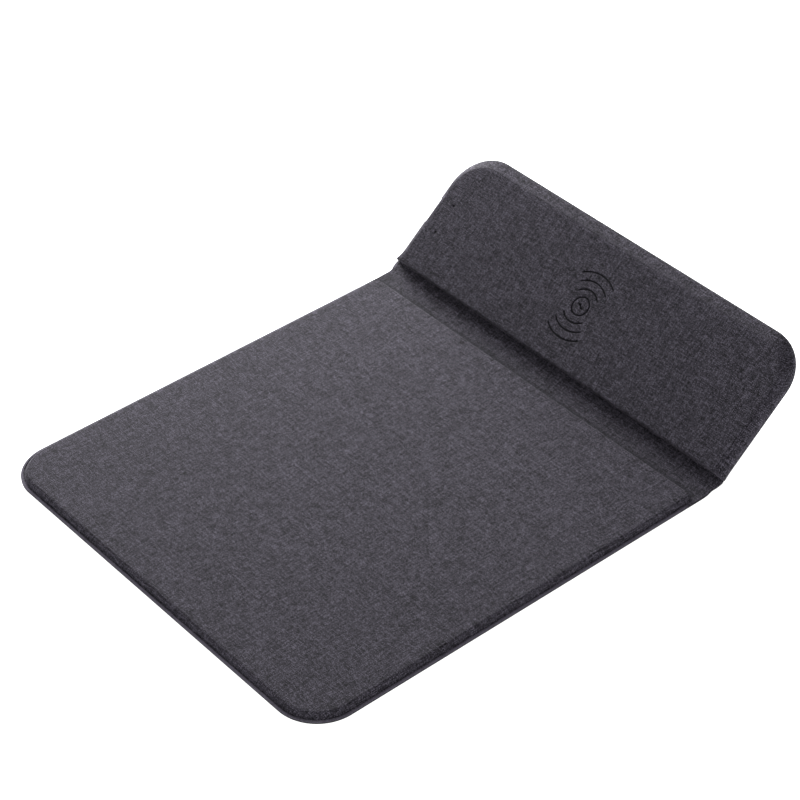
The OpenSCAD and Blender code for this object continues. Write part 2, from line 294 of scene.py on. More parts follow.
# ---- Sheets ----
class Sheet:
    """A surface under construction: places in millimetres, flat places on the uncut cloth, and faces.
    Each point also has how dark it is, from the pressed mark and from painted shade, and how much painted
    highlight it has along the rim."""

    def __init__(self):
        self.places = []
        self.flats = []
        self.pressed = []
        self.rim_light = []
        self.faces = []

    def add_points(self, places, flats, pressed=None):
        first = len(self.places)
        self.places += [tuple(p) for p in places]
        self.flats += [tuple(f) for f in flats]
        self.pressed += [0] * len(places) if pressed is None else list(pressed)
        self.rim_light += [0] * len(places)
        return first

    def add_rows(self, rows, flats, closed):
        """Joins rows of points, each to the next, with quads."""
        count = len(rows[0])
        firsts = [self.add_points(r, f) for r, f in zip(rows, flats)]
        for a, b in zip(firsts, firsts[1:]):
            for i in range(count if closed else count - 1):
                j = (i + 1) % count
                self.faces.append((a + i, a + j, b + j, b + i))

    def add_faces(self, places, flats, faces, pressed=None):
        first = self.add_points(places, flats, pressed)
        self.faces += [tuple(first + i for i in f) for f in faces]


def build(name, sheet, thickness, up):
    """Welds a sheet, turns its face towards up, and gives it its thickness underneath.
    A closed form has a thickness of 0."""
    mesh = bpy.data.meshes.new(name)
    mesh.from_pydata([Vector(p) * MM for p in sheet.places], [], sheet.faces)
    flat = mesh.uv_layers.new(name="flat")
    corners = np.zeros(len(mesh.loops), int)
    mesh.loops.foreach_get("vertex_index", corners)
    flat.data.foreach_set("uv", (np.array(sheet.flats)[corners] * MM).ravel())
    # A second map: how dark each point is, from the pressed mark and from painted shade, and the rim's painted
    # highlight
    pressed = mesh.uv_layers.new(name="pressed")
    amounts = np.array([sheet.pressed, sheet.rim_light], float)[:, corners]
    pressed.data.foreach_set("uv", amounts.T.ravel())
    bm = bmesh.new()
    bm.from_mesh(mesh)
    bmesh.ops.remove_doubles(bm, verts=bm.verts, dist=0.01 * MM)
    bmesh.ops.recalc_face_normals(bm, faces=bm.faces)
    if thickness and sum((f.normal * f.calc_area() for f in bm.faces), Vector()) @ up < 0:
        bmesh.ops.reverse_faces(bm, faces=bm.faces)
    bm.to_mesh(mesh)
    bm.free()
    mesh.shade_smooth()
    obj = bpy.data.objects.new(name, mesh)
    bpy.context.scene.collection.objects.link(obj)
    if thickness:
        solid = obj.modifiers.new("thickness", "SOLIDIFY")
        solid.thickness = thickness * MM
        solid.offset = -1
        apply_modifiers(obj)
    return obj


def apply_modifiers(obj):
    graph = bpy.context.evaluated_depsgraph_get()
    obj.data = bpy.data.meshes.new_from_object(obj.evaluated_get(graph))
    obj.modifiers.clear()


# ---- The mat's cloth, from its front edge to the middle of the strip ----
def fold_place(past, level):
    """A place past the first fold line, along the strip's length, in a smooth bend up from the mat."""
    turn = math.asin(STRIP_WAY.z)
    bend_radius = FOLD_REACH / math.tan(turn / 2)
    part = min(max((past + FOLD_REACH) / (2 * FOLD_REACH), 0), 1) * turn
    way = Vector((0, math.cos(part), math.sin(part)))
    up = X.cross(way)
    start = FOLD_1 - Vector((0, FOLD_REACH, 0))
    place = start + Vector((0, 0, bend_radius)) - up * bend_radius
    if past < -FOLD_REACH:
        place = FOLD_1 + Vector((0, past, 0))
    if past > FOLD_REACH:
        place = FOLD_1 + STRIP_WAY * past
    return place + up * (level - FOLD_HEIGHT)


def pinched(x, past):
    """Draws the cloth's ends in at the first fold and swells them by the panel. past is from that fold."""
    pinch = PINCH * math.exp(-(((past - PINCH_AT) / PINCH_REACH) ** 2))
    most = SWELL_LEFT if x < 0 else SWELL_RIGHT
    swell = most * math.exp(-(((past - SWELL_AT) / SWELL_REACH) ** 2))
    out = (swell - pinch) * smooth(HALF - ENDS, HALF, abs(x))
    return x + (out if x > 0 else -out)


def mat_place(x, in_front, level):
    """A place in front of the first fold line, or past it on the strip where in_front is negative."""
    place = fold_place(-in_front, level)
    place.x = pinched(x, -in_front)
    return place


MAT_STATIONS = np.linspace(FLAP + PAD_BACK_CORNER + 2, MAT_DEPTH - CORNER - 4, SIDE_POINTS)


def pad_ring(inset):
    """The pad's outline, in from the middle of its groove."""
    return ring(
        HALF - RIM - inset,
        FLAP + inset,
        MAT_DEPTH - RIM - inset,
        PAD_BACK_CORNER - inset,
        CORNER - RIM - inset,
        MAT_STATIONS,
    )


def edge_ring(inset):
    """The cloth's outer edge. Its back corners' points are spread along the sides, over the fold."""
    points = ring(HALF - inset, -STRIP / 2, MAT_DEPTH - inset, SHARP, CORNER, MAT_STATIONS)
    side = np.linspace(-STRIP / 2, FLAP + PAD_BACK_CORNER, CORNER_POINTS + 1)
    first = END_POINTS - 1
    points[first:first + CORNER_POINTS + 1] = [(HALF - inset, y) for y in side]
    points[-CORNER_POINTS:] = [(inset - HALF, y) for y in side[:0:-1]]
    return points


def rim_level(from_edge, from_groove, at_back):
    """The pressed rim: rounded at its outer edge, and dipping into the groove. Along the pad's back
    edge the groove is shallower, and the cloth slopes down to it from the fold."""
    outer = RIM_ROUND * (1 - np.clip(from_edge / RIM_ROUND, 0, 1)) ** 2
    depth = (LEDGE - GROOVE_LEVEL) * (1 - BACK_SHALLOW * at_back)
    groove = 1 - smooth(0, GROOVE_HALF, from_groove)
    slope = 1 - np.clip(from_groove / BACK_SLOPE, 0, 1)
    return LEDGE - outer - depth * (groove * (1 - at_back) + slope * at_back)


def painted_shade_behind_pad(from_groove):
    """Painted shade on the cloth behind the pad: darkest by the groove, and fading out over the fold."""
    by_groove = GROOVE_SHADE * (1 - smooth(*GROOVE_SHADE_FADE, from_groove))
    return by_groove + STRIP_SHADE * (1 - smooth(*STRIP_SHADE_FADE, from_groove))


def rim_steps():
    """Shares of the way from the groove to the outer edge, closer together at both ends."""
    even = np.linspace(0, 1, FLAP_ROWS)
    eased = (1 - np.cos(math.pi * even)) / 2
    return FLAP_EVENNESS * even + (1 - FLAP_EVENNESS) * eased


def add_rim(sheet, at_back):
    """The pressed rim, and behind the pad the flap with half of the strip, up to the seam. The cloth
    isn't rounded off in the seam, where it joins the panel's cloth."""
    groove = pad_ring(0)
    edge = edge_ring(0)
    width = np.hypot(*(edge - groove).T)
    at_seam = (edge[:, 1] < -STRIP / 2 + SHARP) & (abs(edge[:, 0]) < HALF - SEAM_ENDS)
    steps = rim_steps()
    rows, flats = [], []
    for step in steps:
        flat = edge * step + groove * (1 - step)
        from_edge = np.where(at_seam, RIM, width * (1 - step))
        levels = rim_level(from_edge, width * step, at_back)
        rows.append([mat_place(x, y, level) for (x, y), level in zip(flat, levels)])
        flats.append(flat)
    sheet.add_rows(rows, flats, True)
    on_rim = groove[:, 1] > FLAP + PAD_BACK_CORNER
    # Painted highlight: the rim's colour is made paler, for the light that its rounded edge catches
    sheet.rim_light = [share * on for share in smooth(*RIM_LIGHT_FADE, steps) for on in on_rim]
    # Painted shade behind the pad, darkest by the groove and fading out over the fold
    sheet.pressed = list(np.ravel([at_back * painted_shade_behind_pad(width * step) for step in steps]))


def bevel_level(part):
    """The height of the pad's sloping edge: in the groove where part is 0, and at the top where it is 1."""
    return GROOVE_LEVEL + (PAD_TOP - GROOVE_LEVEL) * (1 - (1 - part) ** 2)


def add_bevel(sheet, at_back):
    """The pad's sloping edge, up from the groove."""
    parts = np.linspace(0, 1, BEVEL_ROWS)
    lengths = lengths_along([Vector((BEVEL * part, bevel_level(part))) for part in parts])
    rows, flats = [], []
    for part, length in zip(parts, lengths):
        lifts = (LEDGE - GROOVE_LEVEL) * BACK_SHALLOW * at_back * (1 - part)
        level = bevel_level(part)
        rows.append([mat_place(x, y, level + lift) for (x, y), lift in zip(pad_ring(BEVEL * part), lifts)])
        flats.append(pad_ring(min(length, PAD_BACK_CORNER - 0.2)))
    sheet.add_rows(rows, flats, True)


def mat_cloth_sheet():
    sheet = Sheet()
    at_back = smooth(FLAP + BACK_FADE, FLAP, pad_ring(0)[:, 1])
    add_rim(sheet, at_back)
    add_bevel(sheet, at_back)
    top = pad_ring(BEVEL)
    seeds = lattice((-HALF, FLAP), (HALF, MAT_DEPTH), MAT_GRID)
    points, faces = fill([top], seeds_in(seeds, top, MAT_GRID / 2))
    sheet.add_faces([mat_place(x, y, PAD_TOP) for x, y in points], points, faces)
    return sheet


# ---- The panel's cloth, from the middle of the strip over the panel ----
def panel_place(x, v, level):
    """A place on the panel: v up the slope from the second fold line, and level above the underside."""
    across = X * pinched(x, STRIP + v)
    return FOLD_2 + across + UP_PANEL * v + FACE_NORMAL * (level - FOLD_HEIGHT)


def shoulder_level(inset):
    """The height of the panel's rounded side where it has come in by inset."""
    part = 1 - min(inset / SIDE_SHOULDER, 1)
    return LEDGE + (FACE_LEVEL - LEDGE) * math.sqrt(1 - part * part)


def notch_edge(v):
    """How far the notch comes in from the panel's left edge, with rounded corners."""
    past = abs(v - INLET_AT) - (NOTCH_HALF - NOTCH_ROUND)
    if past <= 0:
        return NOTCH_DEPTH
    if past >= NOTCH_ROUND:
        return 0
    return NOTCH_DEPTH - NOTCH_ROUND + math.sqrt(NOTCH_ROUND**2 - past**2)


def notched(x, v, level):
    """Moves a place on the left edge to the notch's rim if the notch has taken it away."""
    cut = notch_edge(v)
    if x < cut - HALF:
        return cut - HALF, v, max(level, shoulder_level(cut))
    return x, v, level


def waves(x, v, lengths, seed):
    """Smooth noise, with waves of these lengths across the panel and up it."""
    return noise.noise(Vector((x / lengths[0], v / lengths[1], seed)))


def crease(x, v, level):
    """Small wrinkles where the cloth turns over the panel's lower edge."""
    near = smooth(*WRINKLE_FADE, v) * smooth(LEDGE, FACE_LEVEL, level)
    return WRINKLE * near * (waves(x, v, BROAD_WAVES, 1.5) + 0.5 * waves(x, v, FINE_WAVES, 4))


def wrapped(x, v, level):
    """A place on the cloth over the panel, with the notch taken away and the wrinkles added."""
    x, v, level = notched(x, v, level)
    return panel_place(x, v + crease(x, v, level), level)


NOTCH_ENDS = NOTCH_HALF - np.linspace(-0.2, NOTCH_ROUND + 0.2, NOTCH_POINTS)
NOTCH_STATIONS = [INLET_AT + side * end for side in (-1, 1) for end in NOTCH_ENDS]
PANEL_STATIONS = sorted([*np.linspace(*PANEL_SIDE, PANEL_POINTS), *NOTCH_STATIONS])


def crest_at(level):
    """Where the lower wall is at a level: upright, then rounding over onto the face."""
    high = min(max(level - (FACE_LEVEL - CREST), 0), CREST)
    return WALL_AT + CREST - math.sqrt(CREST**2 - high**2)


def far_inset(level):
    """The far edge's shape: upright, rounding over to a straight bevel that ends in a crease."""
    share = (level - LEDGE) / (FACE_LEVEL - LEDGE)
    if share < FAR_TURN:
        return FAR_ROUND * (share / FAR_TURN) ** FAR_CURVE
    return FAR_ROUND + (FAR_SHOULDER - FAR_ROUND) * (share - FAR_TURN) / (1 - FAR_TURN)


def panel_ring(angle):
    """The panel's outline and its level, where the rounded side has turned by an angle."""
    share = 1 - math.cos(angle)
    level = LEDGE + (FACE_LEVEL - LEDGE) * math.sin(angle)
    near_radius = NEAR_CORNER_LOW + (NEAR_CORNER_HIGH - NEAR_CORNER_LOW) * math.sin(angle) ** 3
    near_stations = np.linspace(crest_at(level) + near_radius, PANEL_STATIONS[0], NEAR_POINTS)[1:-1]
    points = ring(
        HALF - SIDE_SHOULDER * share,
        crest_at(level),
        PANEL_DEPTH - far_inset(level),
        near_radius,
        CORNER - SIDE_SHOULDER * share,
        [*near_stations, *PANEL_STATIONS],
    )
    return points, level


def strip_path():
    """The top of the cloth from the middle of the strip to the foot of the wall, each a v and a level."""
    turn = math.atan2(UP_PANEL.z, UP_PANEL.y) - math.asin(STRIP_WAY.z)
    way = Vector((math.cos(turn), -math.sin(turn)))
    over = Vector((-way.y, way.x)) * (LEDGE - FOLD_HEIGHT)
    start = Vector((0, FOLD_HEIGHT)) - way * STRIP / 2 + over
    foot = Vector((WALL_AT, LEDGE))
    corner = start + way * (WALL_AT - FILLET - start.x)
    straight = [start.lerp(corner, t) for t in np.linspace(0, 1, STRIP_ROWS)]
    bend = Vector((WALL_AT, corner.y - FILLET_DIP))
    shares = np.linspace(0, 1, FILLET_ROWS)[1:]
    return straight + [corner * (1 - t) ** 2 + bend * 2 * t * (1 - t) + foot * t * t for t in shares]


def arc_distance(point, radius, half_angle):
    """How far a point is from an arc that is centred on +Y."""
    angle = math.atan2(abs(point.x), point.y)
    if angle <= half_angle:
        return abs(point.length - radius)
    end = Vector((math.sin(half_angle), math.cos(half_angle))) * radius
    return (Vector((abs(point.x), point.y)) - end).length


# One half of the bolt; the other half is the same, turned by 180 degrees
BOLT = [Vector((-2.3, 0.75)), Vector((0.1, -0.4)), Vector((-0.4, 1.3))]


def mark_arc(number):
    """The radius of one pair of the mark's arcs, and half of the angle that each of them spans."""
    return ARC_START + number * ARC_STEP, math.radians(ARC_HALF_ANGLE - number * ARC_NARROWS)


MARK_ARCS = [mark_arc(number) for number in (1, 2, 3)]


def in_bolt(point):
    """Whether a point is in one of the bolt's two halves."""
    for turned in (point, -point):
        sides = [(b - a).cross(turned - a) for a, b in zip(BOLT, BOLT[1:] + BOLT[:1])]
        if min(sides) >= 0:
            return True
    return False


def mark_press(x, v):
    """How far the charging mark is pressed into the cloth at a place, from 0 to 1."""
    point = Vector((x, v)) - SPOT
    if in_bolt(point):
        return 1
    folded = Vector((point.x, abs(point.y)))
    distances = [arc_distance(folded, radius, half_angle) for radius, half_angle in MARK_ARCS]
    nearest = min(abs(point.length - MARK_RING), *distances)
    return 1 - smooth(*MARK_FADE, nearest)


def add_shoulder(sheet):
    """The panel's sides, from the ledge up to its face. Gives their lowest outline and its flat places."""
    angles = np.linspace(0, math.pi / 2, SHOULDER_ROWS)
    rings = [panel_ring(angle) for angle in angles]
    rise = FACE_LEVEL - LEDGE
    lengths = lengths_along([Vector((SIDE_SHOULDER * (1 - math.cos(a)), rise * math.sin(a))) for a in angles])
    rows = [[wrapped(x, v, level) for x, v in points] for points, level in rings]
    top = rings[-1][0]
    flats = [outward(top, lengths[-1] - length) for length in lengths]
    sheet.add_rows(rows, flats, True)
    return rings[0][0], flats[0]


def add_upright_edge(sheet, outline, flat):
    """The upright edge below the ledge's level, on the three sides away from the strip."""
    free = np.vstack([outline[END_POINTS - 1:], outline[:1]])
    free_flat = np.vstack([flat[END_POINTS - 1:], flat[:1]])
    levels = np.linspace(LEDGE, 0, EDGE_ROWS)
    rows = [[wrapped(x, v, level) for x, v in free] for level in levels]
    sheet.add_rows(rows, [outward(free_flat, LEDGE - level) for level in levels], False)


def add_half_strip(sheet, outline, flat):
    """The cloth from the seam in the middle of the strip to the panel's lower wall. Gives its length."""
    path = strip_path()
    lengths = lengths_along(path)
    near = outline[:END_POINTS, 0]
    rows, flats = [], []
    for point, length in zip(path, lengths):
        spread = 1 + (HALF / near[-1] - 1) * smooth(WALL_AT, WALL_AT - 1, point.x)
        rows.append([panel_place(x, point.x, point.y) for x in near * spread])
        flats.append(flat[:END_POINTS] - np.array([0, lengths[-1] - length]))
    sheet.add_rows(rows, flats, False)
    return lengths[-1]


def add_face(sheet):
    """The panel's flat face, with the charging mark pressed into it where its points are close together."""
    top = panel_ring(math.pi / 2)[0]
    holes = [circle(light, HOLE_EDGE) for light in LIGHTS]
    mark = lattice(SPOT - MARK_HALF, SPOT + MARK_HALF, MARK_GRID)
    seeds = lattice((-HALF, 0), (HALF, PANEL_DEPTH), FACE_GRID)
    by_mark = np.all(abs(seeds - np.array(SPOT)) < np.array(MARK_HALF) + MARK_GAP, axis=1)
    seeds = seeds_in(seeds[~by_mark], top, FACE_GAP, holes, FACE_GAP)
    points, faces = fill([top, *holes], np.vstack([seeds, mark]))
    pressed = [mark_press(x, v) for x, v in points]
    places = [wrapped(x, v, FACE_LEVEL - MARK_DEPTH * p) for (x, v), p in zip(points, pressed)]
    sheet.add_faces(places, points, faces, pressed)


def add_light_hole(sheet, light):
    """The cloth's edge, turned down into one light hole."""
    rows, flats = [], []
    for turn in np.linspace(0, math.pi / 2, HOLE_ROWS):
        points = circle(light, HOLE_EDGE - (HOLE_EDGE - HOLE_RADIUS) * math.sin(turn))
        level = FACE_LEVEL - HOLE_DEPTH * (1 - math.cos(turn))
        rows.append([wrapped(x, v, level) for x, v in points])
        flats.append(points)
    sheet.add_rows(rows, flats, True)
    # Painted shade: the cloth turned down into the hole is darkened to near black
    sheet.pressed[-HOLE_ROWS * HOLE_POINTS:] = [HOLE_SHADE] * (HOLE_ROWS * HOLE_POINTS)


def panel_cloth_sheet():
    sheet = Sheet()
    outline, flat = add_shoulder(sheet)
    add_upright_edge(sheet, outline, flat)
    strip = add_half_strip(sheet, outline, flat)
    add_face(sheet)
    for light in LIGHTS:
        add_light_hole(sheet, light)
    seam = MAT_DEPTH + STRIP / 2
    offset = np.array([0, seam + strip - flat[0, 1]])
    sheet.flats = [tuple(np.array(place) + offset) for place in sheet.flats]
    return sheet


# ---- The grip sheet underneath ----
POCKET_HALF = 50.4
POCKET_NEAR = 14.98
POCKET_FAR = 56
FINGER = 7
GRIP = 0.5
GRIP_THICKNESS = 0.48
GRIP_INSET = 0.56
MAT_GRIP_INSET = 0.05

# The points are close together over the folds, from FOLD_START on the strip to FOLD_END on the panel
FOLD_START = -STRIP / 2 + 0.5
FOLD_END = 2
FOLD_GRID = 0.7
FOLD_POINTS = 24
POCKET_GAP = 0.5
MAT_GRIP_GRID = 4
PANEL_GRIP_GRID = 3


def pocket_outline():
    """The opening for the flap, with the finger recess at its lower edge."""
    angles = np.radians(np.linspace(180, 360, FINGER_POINTS))
    finger = [(FINGER * math.cos(a), POCKET_NEAR + FINGER * math.sin(a)) for a in angles]
    corners = [(-POCKET_HALF, POCKET_NEAR), *finger, (POCKET_HALF, POCKET_NEAR),
               (POCKET_HALF, POCKET_FAR), (-POCKET_HALF, POCKET_FAR)]
    return np.array(corners)


def mat_grip_sheet():
    sheet = Sheet()
    outline = edge_ring(MAT_GRIP_INSET)
    broad = lattice((-HALF, FLAP), (HALF, MAT_DEPTH), MAT_GRIP_GRID)
    fine = lattice((-HALF, FOLD_START), (HALF, FLAP), FOLD_GRID)
    points, faces = fill([outline], seeds_in(np.vstack([broad, fine]), outline, FOLD_GRID / 2))
    sheet.add_faces([mat_place(x, y, GRIP) for x, y in points], points, faces)
    return sheet


def panel_grip_place(x, v):
    """A place under the panel, or on the strip where v is negative."""
    if v < 0:
        place = FOLD_2 + STRIP_WAY * v
        place.x = pinched(x, STRIP + v)
        return place
    return panel_place(x, v, GRIP)


def panel_grip_sheet():
    sheet = Sheet()
    half = HALF - GRIP_INSET
    stations = [*np.linspace(FOLD_START - 0.1, PANEL_SIDE[0] - 0.5, FOLD_POINTS), *PANEL_STATIONS]
    outline = ring(half, -STRIP / 2, PANEL_DEPTH - GRIP_INSET, SHARP, CORNER - GRIP_INSET, stations)
    outline[:, 0] = [max(x, notch_edge(v) - HALF) for x, v in outline]
    outline[:, 0] *= 1 + (HALF / half - 1) * smooth(FOLD_END, -1, outline[:, 1])
    broad = lattice((-half, FOLD_END), (half, PANEL_DEPTH), PANEL_GRIP_GRID)
    fine = lattice((-half, FOLD_START), (half, FOLD_END), FOLD_GRID)
    pocket = pocket_outline()
    seeds = seeds_in(np.vstack([broad, fine]), outline, FOLD_GRID / 2, [pocket], POCKET_GAP)
    points, faces = fill([outline, pocket], seeds)
    sheet.add_faces([panel_grip_place(x, v) for x, v in points], points, faces)
    return sheet


# ---- The padding inside ----
FOAM_GAP = 0.05
MAT_FOAM_GRID = 5
FACE_FOAM_GRID = 4


def foam_sheet(place, rings, holes, step):
    """A closed slab with holes through it. rings go from its underside to its top, each an outline
    and a level."""
    sheet = Sheet()
    rows = [[place(x, y, level) for x, y in outline] for outline, level in rings]
    sheet.add_rows(rows, [outline for outline, _ in rings], True)
    for outline, level in (rings[0], rings[-1]):
        seeds = lattice(outline.min(axis=0), outline.max(axis=0), step)
        seeds = seeds_in(seeds, outline, step / 3, holes, step / 3)
        points, faces = fill([outline, *holes], seeds)
        sheet.add_faces([place(x, y, level) for x, y in points], points, faces)
    for hole in holes:
        rows = [[place(x, y, level) for x, y in hole] for level in (rings[0][1], rings[-1][1])]
        sheet.add_rows(rows, [hole, hole], True)
    return sheet


def mat_foam_sheet():
    rings = []
    for part in np.linspace(0, 1, BEVEL_ROWS):
        level = bevel_level(part) - CLOTH - FOAM_GAP
        if level > GRIP:
            rings.append((pad_ring(CLOTH + BEVEL * part), level))
    return foam_sheet(mat_place, [(rings[0][0], GRIP), *rings], [], MAT_FOAM_GRID)


def face_foam_sheet():
    low = reach("top_shell", FOLD_2, FACE_NORMAL) + FOLD_HEIGHT
    high = FACE_LEVEL - CLOTH - FOAM_GAP
    top = panel_ring(math.pi / 2)[0]
    edge = outward(top, -CLOTH)
    round_off = (high - low) / 3
    rings = [(edge, low), (edge, high - round_off), (outward(edge, -round_off), high)]
    holes = [circle(light, HOLE_EDGE) for light in LIGHTS]
    return foam_sheet(panel_place, rings, holes, FACE_FOAM_GRID)


# ---- The flap's skin and foot ----
PROP_LEAN = math.radians(10)
PROP_DOWN = Vector((0, math.sin(PROP_LEAN), -math.cos(PROP_LEAN)))
PROP_OUT = X.cross(PROP_DOWN)
PROP_HALF = reach("prop_skin", PROP_HINGE, X)
SKIN_NEAR = -reach("prop_skin", PROP_HINGE, -PROP_DOWN)
SKIN_FAR = reach("prop_skin", PROP_HINGE, PROP_DOWN)
SKIN_TOP = reach("prop_skin", PROP_HINGE, PROP_OUT)
SKIN_CORNER = 1.5
SKIN_ROUND = 0.2
SKIN_THICKNESS = 0.38
SKIN_ROWS = 6
SKIN_POINTS = 28
SKIN_GRID = 2
SKIN_GAP = 0.6
FOOT = reach("prop_foot", PROP_HINGE, PROP_OUT)
FOOT_AT = reach("prop_foot", PROP_HINGE, PROP_DOWN) - FOOT
FOOT_GRIP = FOOT_AT + reach("prop_foot", PROP_HINGE, -PROP_DOWN)
RIB_PITCH = 1.6
RIB_DEPTH = 0.16
RIB_STEPS = 8
FOOT_TAPER = 0.04
FOOT_END_ROWS = 6
FOOT_ROUND_POINTS = 17
FOOT_GRIP_POINTS = 5
FOOT_FLAT_STEP = 0.3


def prop_place(x, down, out):
    """A place on the flap: down from its hinge, and out from its middle towards its skin."""
    return PROP_HINGE + X * x + PROP_DOWN * down + PROP_OUT * out


def skin_ring(angle):
    """The skin's outline and level where its rounded edge has turned by an angle."""
    inset = SKIN_ROUND * (1 - math.cos(angle))
    level = SKIN_TOP - SKIN_ROUND * (1 - math.sin(angle))
    corner = SKIN_CORNER - inset
    stations = np.linspace(SKIN_NEAR + 2 * SKIN_CORNER, SKIN_FAR - 2 * SKIN_CORNER, SKIN_POINTS)
    return ring(PROP_HALF - inset, SKIN_NEAR + inset, SKIN_FAR - inset, corner, corner, stations), level


def prop_skin_sheet():
    sheet = Sheet()
    rings = [skin_ring(angle) for angle in np.linspace(0, math.pi / 2, SKIN_ROWS)]
    rows = [[prop_place(x, y, level) for x, y in outline] for outline, level in rings]
    sheet.add_rows(rows, [outline for outline, _ in rings], True)
    top = rings[-1][0]
    seeds = lattice(top.min(axis=0), top.max(axis=0), SKIN_GRID)
    points, faces = fill([top], seeds_in(seeds, top, SKIN_GAP))
    sheet.add_faces([prop_place(x, y, SKIN_TOP) for x, y in points], points, faces)
    return sheet


def foot_section(size, rib):
    """The foot's outline across its length: round below, and square where it grips the plate."""
    radius = FOOT - rib
    angles = np.linspace(-math.pi / 2, math.pi / 2, FOOT_ROUND_POINTS)
    points = [(radius * math.cos(a), radius * math.sin(a)) for a in angles]
    shares = np.linspace(0, 1, FOOT_GRIP_POINTS + 1)[1:]
    top = [(-FOOT_GRIP * t, FOOT * (1 - FOOT_TAPER * t)) for t in shares]
    points += top + [(x, -y) for x, y in reversed(top)]
    return [(FOOT_AT + x * size, y * size) for x, y in points]


def prop_foot_sheet():
    """The rubber foot, with small ribs across it that grip the table."""
    sheet = Sheet()
    straight = PROP_HALF - FOOT / 2
    stations = [(x, 1) for x in np.arange(-straight, straight, RIB_PITCH / RIB_STEPS)]
    angles = np.linspace(0, math.pi / 2, FOOT_END_ROWS)
    start = [(-PROP_HALF + FOOT / 2 * (1 - math.sin(a)), math.cos(a)) for a in reversed(angles)]
    end = [(-x, size) for x, size in reversed(start)]
    rows, flats = [], []
    for x, size in [*start, *stations, *end]:
        rib = RIB_DEPTH * (0.5 + 0.5 * math.cos(2 * math.pi * x / RIB_PITCH)) ** 3
        section = foot_section(size, rib)
        rows.append([prop_place(x, down, out) for down, out in section])
        flats.append([(x, i * FOOT_FLAT_STEP) for i in range(len(section))])
    sheet.add_rows(rows, flats, True)
    return sheet


# ---- Materials ----
class Finish:
    """A material under construction."""

    def __init__(self, name):
        self.material = bpy.data.materials.new(name)
        self.material.use_nodes = True
        self.tree = self.material.node_tree
        self.shader = self.tree.nodes["Principled BSDF"]

    def add(self, kind, inputs, **settings):
        """A node with its settings and its inputs, by name or number. Gives the node."""
        node = self.tree.nodes.new("ShaderNode" + kind)
        for key, value in settings.items():
            setattr(node, key, value)
        for key, value in inputs.items():
            self.feed(node.inputs[key], value)
        return node

    def feed(self, socket, value):
        if isinstance(value, bpy.types.NodeSocket):
            self.tree.links.new(value, socket)
        else:
            socket.default_value = value

    def sum(self, operation, *values):
        """What one operation on amounts comes to."""
        return self.add("Math", dict(enumerate(values)), operation=operation).outputs[0]

    def noise(self, vector, scale, detail=2.0):
        node = self.add("TexNoise", {"Vector": vector, "Scale": scale, "Detail": detail})
        return node.outputs["Fac"]

    def dashes(self, thread, along):
        """A thread's tone: partly one for each length of it, shifted from thread to thread,
        and partly one for each crossing."""
        shift = self.add("TexWhiteNoise", {"W": thread}, noise_dimensions="1D").outputs["Value"]
        moved = self.sum("ADD", self.sum("DIVIDE", along, DASH), self.sum("MULTIPLY", shift, DASH_SHIFT))
        piece = self.sum("FLOOR", moved)
        lengths, crossings = (
            self.add("TexWhiteNoise", {"Vector": self.vector(thread, part, seed)}).outputs["Value"]
            for part, seed in ((piece, 1.0), (self.sum("FLOOR", along), 2.0))
        )
        return self.mix(DASH_SHARE, crossings, lengths)

    def mix(self, share, first, second):
        return self.add("Mix", {0: share, 2: first, 3: second}).outputs[0]

    def mix_colours(self, share, first, second):
        return self.add("Mix", {0: share, 6: first, 7: second}, data_type="RGBA").outputs[2]

    def vector(self, x, y, z):
        return self.add("CombineXYZ", {0: x, 1: y, 2: z}).outputs[0]

    def ramp(self, amount, stops):
        """A colour that runs through the stops, each a place and a colour."""
        node = self.add("ValToRGB", {"Fac": amount})
        elements = node.color_ramp.elements
        elements[0].position, elements[1].position = stops[0][0], stops[-1][0]
        elements[0].color, elements[1].color = (*stops[0][1], 1), (*stops[-1][1], 1)
        for place, colour in stops[1:-1]:
            elements.new(place).color = (*colour, 1)
        return node.outputs[0]

    def span(self, amount, low, high):
        """Stretches an amount from 0 to 1 onto low to high."""
        return self.add("MapRange", {"Value": amount, "To Min": low, "To Max": high}).outputs[0]

    def bump(self, height, strength, depth):
        node = self.add("Bump", {"Height": height, "Strength": strength, "Distance": depth * MM})
        self.feed(self.shader.inputs["Normal"], node.outputs[0])

    def set(self, **values):
        for key, value in values.items():
            self.feed(self.shader.inputs[key.replace("_", " ")], value)
        return self.material


def shade(colour, by):
    return tuple(c * by for c in colour)


# A thread's width in millimetres, the length of its dashes in threads, their share of its tone, and
# how far they are shifted, in dashes. The weft's threads are numbered from a number past the warp's
THREAD = 0.42
DASH = 8
DASH_SHARE = 0.5
DASH_SHIFT = 50.0
WEFT_START = 5000.0
CLOTH_COLOUR = (0.0571, 0.0524, 0.0670)
# Near black, for the pressed charging mark and for painted shade
MARK_AND_SHADE_COLOUR = (0.003, 0.003, 0.004, 1)


def hump(made, across):
    """A thread's rounded height over its width, from 0 at its edges to 1 in its middle."""
    return made.sum("SINE", made.sum("MULTIPLY", made.sum("FRACT", across), math.pi))


def weave(made, across, along):
    """The height and the tone of a plain weave. across and along are in threads."""
    warp, weft = made.sum("FLOOR", across), made.sum("FLOOR", along)
    warp_hump, weft_hump = hump(made, across), hump(made, along)
    weft_over = made.sum("FLOORED_MODULO", made.sum("ADD", warp, weft), 2.0)
    warp_high = made.sum("MULTIPLY", warp_hump, made.span(weft_hump, 0.5, 1.0))
    weft_high = made.sum("MULTIPLY", weft_hump, made.span(warp_hump, 0.5, 1.0))
    warp_tone = made.dashes(warp, along)
    weft_tone = made.dashes(made.sum("ADD", weft, WEFT_START), across)
    return made.mix(weft_over, warp_high, weft_high), made.mix(weft_over, warp_tone, weft_tone)


